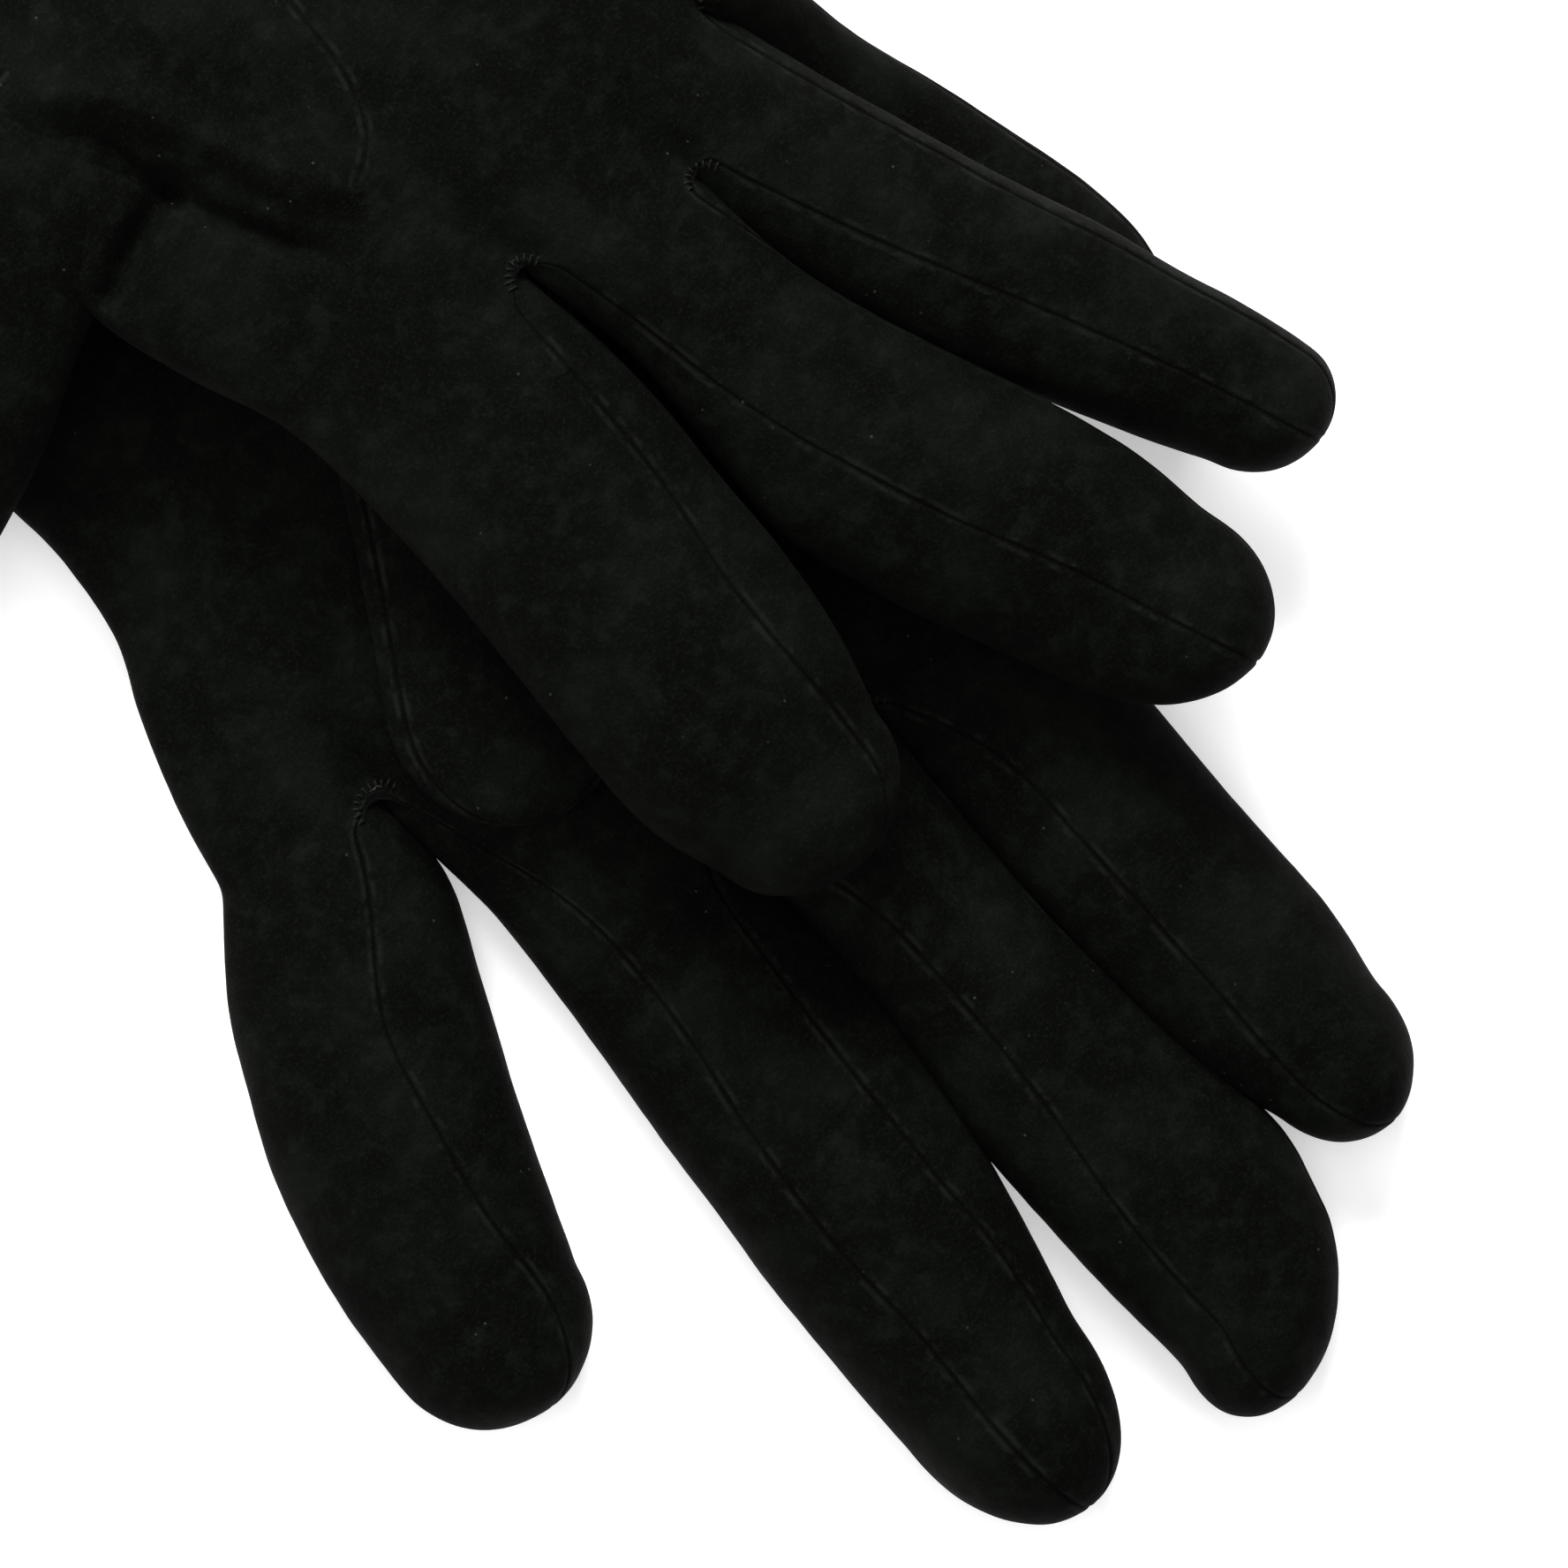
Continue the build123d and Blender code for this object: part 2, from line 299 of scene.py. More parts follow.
def section(half, under, depth, left_seam, right_seam, outer, profile=None, grow=1.0):
    """One ring of a finger as (across, height) and seam distance, from the left seam on the palm
    side across the panel, round the right wall, back across the back and round the left wall."""
    turn = np.radians(np.linspace(180, 0, TURN_STEPS))
    across = np.sign(np.cos(turn)) * np.abs(np.cos(turn)) ** FINGER_SQUARENESS
    above = MIDDLE + (1 - MIDDLE) * np.sin(turn) ** FINGER_SQUARENESS
    below = MIDDLE * (1 - np.sin(turn) ** UNDERSIDE_SQUARENESS)
    if profile is not None:
        above = grow * above + (1 - grow) * np.interp(across, *profile.top.T)
        below = grow * below + (1 - grow) * np.interp(across, *profile.bottom.T)
    top = np.stack([across * half, under + depth * above], 1)
    bottom = np.stack([across * half, under + depth * below], 1)[::-1]
    loop = np.concatenate([top, bottom, top[:1]])
    run = lengths(loop)
    tops, bottoms = run[:TURN_STEPS], run[TURN_STEPS : 2 * TURN_STEPS]
    seams = [
        np.interp(left_seam, across, tops),
        np.interp(right_seam, across, tops),
        np.interp(-BACK_SEAM, -across[::-1], bottoms),
        np.interp(BACK_SEAM, -across[::-1], bottoms),
    ]
    seams.append(seams[0] + run[-1])
    places = []
    for k, cells in enumerate((PANEL_CELLS, WALL_CELLS, PANEL_CELLS, WALL_CELLS)):
        width = seams[k + 1] - seams[k]
        places.append(seams[k] + spread(cells, width)[:-1] * width)
    at = np.concatenate(places)
    lines = [(seams[1] + seams[2]) / 2] if outer[1] else [seams[1], seams[2]]
    lines += [(seams[3] + seams[4]) / 2] if outer[0] else [seams[3], seams[4], seams[0]]
    gaps = np.min([np.abs(at - line) for line in lines], axis=0)
    at = at % run[-1]
    return np.stack([np.interp(at, run, loop[:, 0]), np.interp(at, run, loop[:, 1])], 1), gaps


def finger_rings(finger, outer, profile=None):
    """Every ring of a finger from root to tip, with its seam distances, and the tip's point."""
    left = np.array([s.left for s in finger.stations], float)
    right = np.array([s.right for s in finger.stations], float)
    other = np.array([s[2:] for s in finger.stations], float)
    knots = lengths((left + right) / 2)
    rows = max(4, round(knots[-1] / ROW_STEP))
    at = np.linspace(0, knots[-1], rows + 1)
    lefts, rights, others = (through(knots, v, at) for v in (left, right, other))
    rings, gaps = [], []

    def add(l, r, values, grow=1.0, height=1.0, rise=0.0):
        under, depth, left_seam, right_seam = values
        middle, half = (l + r) / 2, np.linalg.norm(r - l) / 2
        flat = depth * height
        base = under + (depth - flat) * MIDDLE + rise
        ring, gap = section(half, base, flat, left_seam, right_seam, outer, profile, grow)
        plan = middle + ring[:, :1] * (r - l) / (2 * half)
        rings.append(np.column_stack([plan, ring[:, 1]]))
        gaps.append(gap)

    for l, r, values, far in zip(lefts, rights, others, at):
        grow = 1.0 if profile is None else float(smooth(0, ROOT_BLEND, far))
        add(l, r, values, grow)
    middle, half = (lefts[-1] + rights[-1]) / 2, (rights[-1] - lefts[-1]) / 2
    reach = np.array(finger.tip) - middle
    for turn in np.radians(np.linspace(0, 90, CAP_RINGS + 2))[1:-1]:
        c, s = math.cos(turn), math.sin(turn)
        centre = middle + reach * s
        add(centre - half * c, centre + half * c, others[-1], 1.0, c**0.75, finger.tip_rise * s)
    tip = np.append(np.array(finger.tip), rings[-1][:, 2].mean())
    return np.array(rings), np.array(gaps), tip


def palm_under(glove, plan):
    """Height of a palm's underside: the right glove lies over the left one and its thumb."""
    x, y = plan[..., 0], plan[..., 1]
    if glove.name == "left":
        return np.full(x.shape, RESTING)
    climb = RESTING + (20.4 - RESTING) * smooth(-150, -99, y)
    side_sag = 2.6 * smooth(-46, -74, x) * smooth(-150, -110, y) * (1 - smooth(-45, -20, y))
    slack = 2.2 * smooth(-45, -80, y) * smooth(-150, -115, y)
    return climb - side_sag - slack


def palm_depth(glove, plan):
    """Depth of the palm: fullest below the fingers, flatter at the wrist, open at the cuff."""
    y = plan[..., 1]
    cuff = glove.left_side[-1][1]
    return 11.6 - 2.2 * smooth(100, 45, y - cuff) + 1.6 * smooth(16, 2, y - cuff)


def palm_rings(glove, inset=0.0):
    """Every ring of the palm from the finger roots to the cuff."""
    sides = []
    for side in (glove.left_side, glove.right_side):
        run = lengths(side)
        sides.append((run / run[-1], np.array(side, float)))
    roots = np.array(glove.roots, float)
    panels = [np.linalg.norm(b - a) for a, b in zip(roots[:-1], roots[1:])]
    total = sum(panels)
    fractions, start = [], 0.0
    for panel in panels:
        fractions.append(start + spread(PANEL_CELLS, panel)[:-1] * panel / total)
        start += panel / total
    root_q = np.concatenate([*fractions, [1.0]])
    even_q = np.linspace(0, 1, len(root_q))
    run = lengths(glove.left_side)[-1]
    rows = round(run / ROW_STEP)
    rings, gaps = [], []
    root_knots = np.concatenate([[0], np.cumsum(panels)]) / total
    for v in np.linspace(0, 1, rows + 1):
        left = through(*sides[0], [v])[0]
        right = through(*sides[1], [v])[0]
        near = 1 - smooth(0, WEB_BLEND, v * run)
        q = root_q * near + even_q * (1 - near)
        middle, half = (left + right) / 2, (right - left) / 2
        half = half * (1 - inset / np.linalg.norm(half))
        root_line = np.stack([np.interp(q, root_knots, roots[:, k]) for k in (0, 1)], 1)
        straight = roots[0] + q[:, None] * (roots[-1] - roots[0])
        bulge = (root_line - straight) * (1 - v) ** 2.5
        rho = (2 * q - 1) * PALM_EDGE
        edge = math.acos(PALM_EDGE ** (1 / PALM_SQUARENESS))
        wall_turn = np.linspace(edge, -edge, WALL_CELLS + 1)[1:-1]
        wall = np.sign(np.cos(wall_turn)) * np.abs(np.cos(wall_turn)) ** PALM_SQUARENESS
        wall_up = np.sign(np.sin(wall_turn)) * np.abs(np.sin(wall_turn)) ** PALM_SQUARENESS
        up = np.sin(np.arccos(np.abs(rho) ** (1 / PALM_SQUARENESS))) ** PALM_SQUARENESS
        # A shallow dip at each crotch
        place = np.interp(q, root_knots, np.arange(len(roots)))
        phase = np.abs(np.sin(np.pi * place))
        between = (place > 0.5) & (place < len(roots) - 1.5)
        dip = CROTCH_DIP * (1 - smooth(0, 0.75, phase)) * near * between
        shape = []
        for sign, rhos, ups, dips in (
            (1, rho, up, dip),
            (0, wall, wall_up, 0 * wall),
            (-1, rho[::-1], up[::-1], dip[::-1] * 0.8),
            (0, -wall[::-1], -wall_up, 0 * wall),
        ):
            plan = middle + rhos[:, None] * half
            if sign:
                plan = plan + (bulge if sign > 0 else bulge[::-1])
            under = palm_under(glove, plan)
            depth = palm_depth(glove, plan)
            z_mid = under + MIDDLE * depth
            if sign > 0:
                z = z_mid + ((1 - MIDDLE) * depth - inset) * ups - dips
            elif sign < 0:
                z = z_mid - (MIDDLE * depth - inset) * np.minimum(1, ups * 1.15) + dips
            else:
                reach = np.where(ups > 0, (1 - MIDDLE) * depth, MIDDLE * depth) - inset
                z = z_mid + reach * ups
            shape.append(np.column_stack([plan, z]))
        shape_all = np.concatenate(shape)
        rings.append(shape_all)
        gap = np.full(len(shape_all), NO_SEAM)
        side = lengths(shape_all[len(q) - 1 : len(q) + WALL_CELLS])
        side_gap = np.abs(side - side[-1] / 2)[1:-1]
        gap[len(q) : len(q) + WALL_CELLS - 1] = side_gap
        gap[2 * len(q) + WALL_CELLS - 1 :] = side_gap
        if v == 0:
            crotches = [np.abs(q - knot) * total for knot in root_knots[1:-1]]
            near_crotch = np.min(crotches, axis=0)
            gap[: len(q)] = near_crotch
            gap[len(q) + WALL_CELLS - 1 : 2 * len(q) + WALL_CELLS - 1] = near_crotch[::-1]
        gaps.append(gap)
    return np.array(rings), np.array(gaps)


class Surface:
    """Points, faces and per-point and per-face facts of a mesh while it is built."""

    def __init__(self):
        self.points, self.gaps, self.facing, self.faces, self.parts = [], [], [], [], []

    def add(self, point, gap, facing=1.0):
        self.points.append(tuple(point))
        self.gaps.append(float(gap))
        self.facing.append(facing)
        return len(self.points) - 1

    def add_ring(self, points, gaps, facing=1.0):
        return [self.add(p, g, facing) for p, g in zip(points, gaps)]

    def join(self, a, b, part):
        """Quads between two closed rings. b lies further from the cuff than a."""
        n = len(a)
        for k in range(n):
            m = (k + 1) % n
            self.faces.append((a[k], a[m], b[m], b[k]))
            self.parts.append(part)

    def close(self, ring, apex, part):
        n = len(ring)
        for k in range(n):
            self.faces.append((ring[k], ring[(k + 1) % n], apex))
            self.parts.append(part)


def finger_root(j, count):
    """Places in the palm's first ring of finger j's top, right wall, bottom and left wall. A wall
    that two fingers share isn't in that ring, and is None."""
    n = count * PANEL_CELLS
    top = list(range(j * PANEL_CELLS, (j + 1) * PANEL_CELLS + 1))
    bottom_start = n + 1 + WALL_CELLS - 1
    bottom = [bottom_start + n - c for c in reversed(top)]
    right_wall = list(range(n + 1, n + WALL_CELLS)) if j == count - 1 else None
    left_wall = list(range(bottom_start + n + 1, bottom_start + n + WALL_CELLS)) if j == 0 else None
    return top, right_wall, bottom, left_wall


def frame_of(ring):
    """The middle of a ring and the direction across its finger, in plan."""
    left, right = ring[0, :2], ring[PANEL_CELLS, :2]
    across = (right - left) / np.linalg.norm(right - left)
    middle = (ring[:, :2].min(0) + ring[:, :2].max(0)) / 2
    return middle, across


def build_glove(glove):
    """The whole leather of a glove without its thumb, with the fingers sharing the palm's points."""
    surface = Surface()
    rings, gaps = palm_rings(glove)
    count = len(glove.fingers)
    rows = [surface.add_ring(r, g) for r, g in zip(rings, gaps)]
    for a, b in zip(rows[1:], rows[:-1]):
        surface.join(a, b, 0)
    inner = palm_rings(glove, LEATHER)[0]
    hem = [(rings[-1] + inner[-1]) / 2 - (0, LEATHER / 2, 0)]
    depth = round(HEM_DEPTH / ROW_STEP)
    hem += [inner[-1 - m] for m in range(depth + 1)]
    hem.append(palm_rings(glove, HEM_SKIN * LEATHER)[0][-1 - depth])
    before = rows[-1]
    for m, ring in enumerate(hem):
        current = surface.add_ring(ring, np.full(len(ring), NO_SEAM), 0.0 if m == 0 else -1.0)
        surface.join(current, before, HEM)
        before = current

    walls = []  # the shared points at each crotch, from top to bottom
    for j in range(1, count):
        top, _, bottom, _ = finger_root(j, count)
        high, low = rings[0][top[0]], rings[0][bottom[-1]]
        steps = spread(WALL_CELLS, CROTCH_WALL)[1:-1]
        wall_gaps = [min(u, 1 - u) * CROTCH_WALL for u in steps]
        walls.append([surface.add(high + (low - high) * u, g) for u, g in zip(steps, wall_gaps)])
    for j, finger in enumerate(glove.fingers):
        top, right_wall, bottom, left_wall = finger_root(j, count)
        ids = [rows[0][k] for k in top]
        ids += [rows[0][k] for k in right_wall] if right_wall else walls[j]
        ids += [rows[0][k] for k in bottom]
        ids += [rows[0][k] for k in left_wall] if left_wall else list(reversed(walls[j - 1]))
        assert len(ids) == RING_CELLS, (len(ids), RING_CELLS)
        root = np.array([surface.points[k] for k in ids])
        outer = (j == 0, j == count - 1)
        f_rings, f_gaps, tip = finger_rings(finger, outer, root_profile(root, outer))
        previous = ids
        for ring, gap in zip(f_rings[1:], f_gaps[1:]):
            current = surface.add_ring(ring, gap)
            surface.join(previous, current, j + 1)
            previous = current
        apex = surface.add(tip, 0.0)
        surface.close(previous, apex, j + 1)
    return surface


def build_thumb(finger, outer):
    """A thumb as one tube, open at its root and closed at its tip."""
    surface = Surface()
    rings, gaps, tip = finger_rings(finger, outer)
    previous = surface.add_ring(rings[0], gaps[0])
    for ring, gap in zip(rings[1:], gaps[1:]):
        current = surface.add_ring(ring, gap)
        surface.join(previous, current, 0)
        previous = current
    surface.close(previous, surface.add(tip, 0.0), 0)
    return surface


# ---------------------------------------------------------------- folds and detail


class Stroke(NamedTuple):
    """A fold or crease drawn over the palm side of a piece: a ridge if height is above 0."""

    points: list
    height: float
    width: float


def stroke_field(stroke, plan):
    """Height that a stroke adds at each plan point."""
    knots = lengths(stroke.points)
    line = through(knots, stroke.points, np.linspace(0, knots[-1], 40))
    best = np.full(len(plan), np.inf)
    along = np.zeros(len(plan))
    for k in range(len(line) - 1):
        a, b = line[k], line[k + 1]
        d = b - a
        u = np.clip(((plan - a) @ d) / (d @ d), 0, 1)
        off = plan - (a + u[:, None] * d)
        dist = np.hypot(off[:, 0], off[:, 1])
        closer = dist < best
        best = np.where(closer, dist, best)
        along = np.where(closer, (k + u) / (len(line) - 1), along)
    fade = smooth(0, 0.18, along) * smooth(1, 0.82, along)
    return stroke.height * fade * np.exp(-((best / stroke.width) ** 2))


def soft_noise(points, size, seed):
    """Smooth noise from -1 to 1 at each point, with waves of about this size in mm."""
    shift = Vector((seed * 17.3, seed * -9.1, seed * 5.7))
    return np.array([noise.noise(Vector(p / size) + shift) for p in points])


def to_mesh(name, points, faces):
    mesh = bpy.data.meshes.new(name)
    mesh.from_pydata([tuple(p) for p in points], [], faces)
    mesh.update()
    return mesh


def subdivided(surface, name, levels):
    """The surface's Catmull-Clark mesh as arrays: points, face corners, gaps and parts."""
    mesh = to_mesh(name, surface.points, surface.faces)
    mesh.attributes.new("gap", "FLOAT", "POINT").data.foreach_set("value", surface.gaps)
    mesh.attributes.new("facing", "FLOAT", "POINT").data.foreach_set("value", surface.facing)
    mesh.attributes.new("part", "INT", "FACE").data.foreach_set("value", surface.parts)
    thing = bpy.data.objects.new(name, mesh)
    bpy.context.collection.objects.link(thing)
    divide = thing.modifiers.new("divide", "SUBSURF")
    divide.levels = levels
    divide.boundary_smooth = "PRESERVE_CORNERS"
    made = bpy.data.meshes.new_from_object(thing.evaluated_get(bpy.context.evaluated_depsgraph_get()))
    bpy.data.objects.remove(thing)
    bpy.data.meshes.remove(mesh)
    return made


def read(mesh, what):
    if what == "points":
        values = np.empty(len(mesh.vertices) * 3)
        mesh.vertices.foreach_get("co", values)
        return values.reshape(-1, 3)
    if what == "normals":
        values = np.empty(len(mesh.vertices) * 3)
        mesh.vertex_normals.foreach_get("vector", values)
        return values.reshape(-1, 3)
    data = mesh.attributes[what].data
    values = np.empty(len(data), dtype=int if what == "part" else float)
    data.foreach_get("value", values)
    return values


def write_points(mesh, points):
    mesh.vertices.foreach_set("co", points.ravel())
    mesh.update()


def distance_to(line, plan):
    """Distance in plan from each point to a smooth line through the given points."""
    knots = lengths(line)
    steps = through(knots, line, np.linspace(0, knots[-1], max(12, int(knots[-1] / 1.5))))
    best = np.full(len(plan), np.inf)
    for a, b in zip(steps[:-1], steps[1:]):
        d = b - a
        u = np.clip(((plan - a) @ d) / (d @ d), 0, 1)
        off = plan - (a + u[:, None] * d)
        best = np.minimum(best, np.hypot(off[:, 0], off[:, 1]))
    return best


def folded(glove, points, strokes):
    """Height that all the strokes together add to the palm side."""
    plan = points[:, :2]
    lift = sum(stroke_field(stroke, plan) for stroke in strokes)
    middle = palm_under(glove, plan) + MIDDLE * palm_depth(glove, plan)
    return lift * smooth(0.0, 2.5, points[:, 2] - middle)


def detail(mesh, glove=None, strokes=(), seams=(), undulation=0.55, seed=1):
    """Folds, seam grooves and the leather's soft waves, as real shape. Keeps each seam distance."""
    points, normals, gap = read(mesh, "points"), read(mesh, "normals"), read(mesh, "gap")
    facing = read(mesh, "facing")
    upward = smooth(0.05, 0.5, normals[:, 2]) * (facing > 0)
    if glove:
        points[:, 2] += folded(glove, points, strokes)
    for seam in seams:
        near = distance_to(seam, points[:, :2])
        gap = np.where(upward > 0.3, np.minimum(gap, near), gap)
    groove = -GROOVE * np.exp(-((gap / GROOVE_WIDTH) ** 2))
    lips = LIP * np.exp(-(((gap - LIP_AT) / LIP_WIDTH) ** 2))
    free = smooth(-0.75, -0.1, normals[:, 2] * facing) * facing
    waves = soft_noise(points, 22.0, seed) * undulation
    waves += soft_noise(points * (1.0, 0.55, 1.0), 7.5, seed + 3) * undulation * 0.38
    waves += soft_noise(points, 3.1, seed + 5) * undulation * 0.10
    points += normals * ((groove + lips) * (facing > 0.5) + waves * free)[:, None]
    mesh.attributes["gap"].data.foreach_set("value", gap)
    write_points(mesh, points)


# ---------------------------------------------------------------- objects


def in_frame(points):
    """Layout millimetres to the frame's metres."""
    return (np.asarray(points, float) - (*LAYOUT_CENTER, 0.0)) * MM


def in_frame_point(x, y, z=10.0):
    return tuple(in_frame([(x, y, z)])[0])


def corners(mesh):
    ids = np.empty(len(mesh.loops), int)
    mesh.loops.foreach_get("vertex_index", ids)
    return ids.reshape(-1, 4)


def piece(name, mesh, chosen, material):
    """An object of the mesh's chosen faces, shaded as the whole mesh is."""
    faces, points, normals = corners(mesh)[chosen], read(mesh, "points"), read(mesh, "normals")
    gap = read(mesh, "gap")
    used, place = np.unique(faces, return_inverse=True)
    made = to_mesh(name, in_frame(points[used]), place.reshape(-1, 4).tolist())
    made.attributes.new("seam", "FLOAT", "POINT").data.foreach_set("value", gap[used])
    made.attributes.new("rest", "FLOAT_VECTOR", "POINT").data.foreach_set("vector", points[used].ravel())
    made.polygons.foreach_set("use_smooth", [True] * len(made.polygons))
    made.normals_split_custom_set_from_vertices(normals[used].tolist())
    made.materials.append(material)
    thing = bpy.data.objects.new(name, made)
    bpy.context.collection.objects.link(thing)
    return thing


class Bend(NamedTuple):
    """Where a finger bends: it follows the hand before start and the finger's body after end."""

    start: tuple
    end: tuple


def make_leather(side, mesh, names, strips, material):
    """Splits a glove into its hand, its hem and its fingers, and ties the hand and the hem to the frame.
    """
    parts = read(mesh, "part")
    hand = piece(f"{side}_hand_leather", mesh, parts == 0, material)
    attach(hand, f"{side}_hand")
    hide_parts(f"{side}_palm_panel", f"{side}_back_panel", *(f"{side}_{s}" for s in strips))
    hem = piece(f"{side}_hem", mesh, parts == HEM, material)
    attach(hem, f"{side}_hand")
    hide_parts(f"{side}_cuff_hem")
    for j, name in enumerate(names):
        finger = piece(f"{side}_{name}_leather", mesh, parts == j + 1, material)
        tie_finger(finger)
        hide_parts(*(f"{side}_{name}_{p}" for p in ("front", "back", "side_strip")))


def tie_finger(thing):
    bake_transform(thing)


def make_lining(side, glove, strokes, names, material, thumb):
    """The knitted lining: a hand-shaped bag inside the leather, from the hem to the fingertips."""
    surface = build_glove(glove)
    mesh = subdivided(surface, f"{side}_lining", LINING_LEVELS)
    points, normals = read(mesh, "points"), read(mesh, "normals")
    points[:, 2] += folded(glove, points, strokes) - 0.5 * np.maximum(normals[:, 2], 0)
    write_points(mesh, points - normals * LINING_INSET)
    parts = read(mesh, "part")
    middles = points[corners(mesh)].mean(1)
    cuff = glove.left_side[-1][1]
    bag = (parts == 0) & (middles[:, 1] > cuff + HEM_DEPTH - 2.0)
    hand = piece(f"{side}_hand_knit", mesh, bag, material)
    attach(hand, f"{side}_hand")
    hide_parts(f"{side}_hand_lining")
    for j, name in enumerate(names):
        finger = piece(f"{side}_{name}_knit", mesh, parts == j + 1, material)
        tie_finger(finger)
        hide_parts(f"{side}_{name}_lining")
    mesh = subdivided(build_thumb(thumb, (True, True)), f"{side}_thumb_lining", LINING_LEVELS)
    points, normals = read(mesh, "points"), read(mesh, "normals")
    write_points(mesh, points - normals * LINING_INSET)
    finger = piece(f"{side}_thumb_knit", mesh, np.full(len(mesh.polygons), True), material)
    tie_finger(finger)
    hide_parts(f"{side}_thumb_lining")


def make_thumb(side, finger, outer, material, seed):
    """A thumb's leather, as a surface of its own that goes into the palm at its root."""
    mesh = subdivided(build_thumb(finger, outer), f"{side}_thumb", LEATHER_LEVELS)
    detail(mesh, seed=seed)
    thumb = piece(f"{side}_thumb_leather", mesh, np.full(len(mesh.polygons), True), material)
    tie_finger(thumb)
    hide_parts(*(f"{side}_thumb_{p}" for p in ("front", "back", "side_strip")))


# ---------------------------------------------------------------- thread


THREAD = 0.17  # radius in mm
THREAD_SIDES = 8


def stitch(middle, along, normal, length):
    """One stitch as points and faces: a short thread that bows out of the leather."""
    side = along.cross(normal)
    points, faces = [], []
    for m, u in enumerate((-1, -0.8, -0.35, 0.35, 0.8, 1)):
        thick = THREAD * (0.35 if abs(u) == 1 else 1.0)
        lift = THREAD * (1.5 * (1 - u * u) - 0.5)
        centre = middle + along * (u * length / 2) + normal * lift
        for k in range(THREAD_SIDES):
            turn = 2 * math.pi * k / THREAD_SIDES
            points.append(centre + (side * math.cos(turn) + normal * math.sin(turn)) * thick)
        if m:
            start = (m - 1) * THREAD_SIDES
            for k in range(THREAD_SIDES):
                a, b = start + k, start + (k + 1) % THREAD_SIDES
                faces.append((a, b, b + THREAD_SIDES, a + THREAD_SIDES))
    end = len(points)
    faces += [tuple(reversed(range(THREAD_SIDES))), tuple(range(end - THREAD_SIDES, end))]
    return points, faces


def stitch_rows(name, mesh, rows, body, material):
    """Thread on the mesh. A row is its line in plan, pitch, stitch length, whether the stitches cross
    the line, and whether they are on the palm side or on the back."""
    tree = BVHTree.FromPolygons([tuple(p) for p in read(mesh, "points")], corners(mesh).tolist())
    points, faces = [], []
    for line, pitch, length, crossing, above in rows:
        knots = lengths(line)
        for at in np.arange(pitch / 2, knots[-1], pitch):
            here, there = through(knots, line, [at, at + 0.05])
            heading = Vector((*(there - here), 0)).normalized()
            start = Vector((*here, 60.0 if above else -20.0))
            spot, normal, _, _ = tree.ray_cast(start, Vector((0, 0, -1 if above else 1)))
            if spot is None or abs(normal.z) < 0.35:
                continue
            if crossing:
                heading = heading.cross(normal)
            heading = (heading - normal * heading.dot(normal)).normalized()
            uneven = 1 + 0.5 * noise.noise(spot * 4.3)
            new_points, new_faces = stitch(spot, heading, normal, length * uneven)
            faces += [tuple(k + len(points) for k in face) for face in new_faces]
            points += new_points
    made = to_mesh(name, in_frame([tuple(p) for p in points]), faces)
    made.polygons.foreach_set("use_smooth", [True] * len(made.polygons))
    made.materials.append(material)
    thing = bpy.data.objects.new(name, made)
    bpy.context.collection.objects.link(thing)
    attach(thing, body)


# ---------------------------------------------------------------- materials


class Nodes:
    """A short way to write a material's nodes."""

    def __init__(self, name):
        self.material = bpy.data.materials.new(name)
        self.material.use_nodes = True
        self.tree = self.material.node_tree
        self.shader = self.tree.nodes["Principled BSDF"]

    def add(self, kind, **settings):
        node = self.tree.nodes.new(kind)
        for key, value in settings.items():
            setattr(node, key, value)
        return node

    def link(self, a, b):
        self.tree.links.new(a, b)

    def attribute(self, name):
        return self.add("ShaderNodeAttribute", attribute_name=name)

    def noise(self, vector, size, detail=3.0, roughness=0.5):
        node = self.add("ShaderNodeTexNoise")
        node.inputs["Scale"].default_value = 1.0 / size
        node.inputs["Detail"].default_value = detail
        node.inputs["Roughness"].default_value = roughness
        self.link(vector, node.inputs["Vector"])
        return node.outputs["Fac"]

    def remap(self, value, a, b, c, d):
        node = self.add("ShaderNodeMapRange", interpolation_type="SMOOTHSTEP")
        for socket, number in zip(("From Min", "From Max", "To Min", "To Max"), (a, b, c, d)):
            node.inputs[socket].default_value = number
        self.link(value, node.inputs["Value"])
        return node.outputs["Result"]

    def math(self, operation, a, b):
        node = self.add("ShaderNodeMath", operation=operation)
        for socket, value in zip(node.inputs, (a, b)):
            if isinstance(value, (int, float)):
                socket.default_value = value
            else:
                self.link(value, socket)
        return node.outputs[0]

    def mix(self, share, a, b):
        node = self.add("ShaderNodeMix", data_type="RGBA")
        self.link(share, node.inputs["Factor"])
        for socket, value in ((node.inputs["A"], a), (node.inputs["B"], b)):
            if isinstance(value, tuple):
                socket.default_value = (*value, 1.0)
            else:
                self.link(value, socket)
        return node.outputs["Result"]

    def bump(self, height, distance, strength=1.0, onto=None):
        node = self.add("ShaderNodeBump")
        node.inputs["Distance"].default_value = distance
        node.inputs["Strength"].default_value = strength
        self.link(height, node.inputs["Height"])
        if onto is not None:
            self.link(onto, node.inputs["Normal"])
        return node.outputs["Normal"]


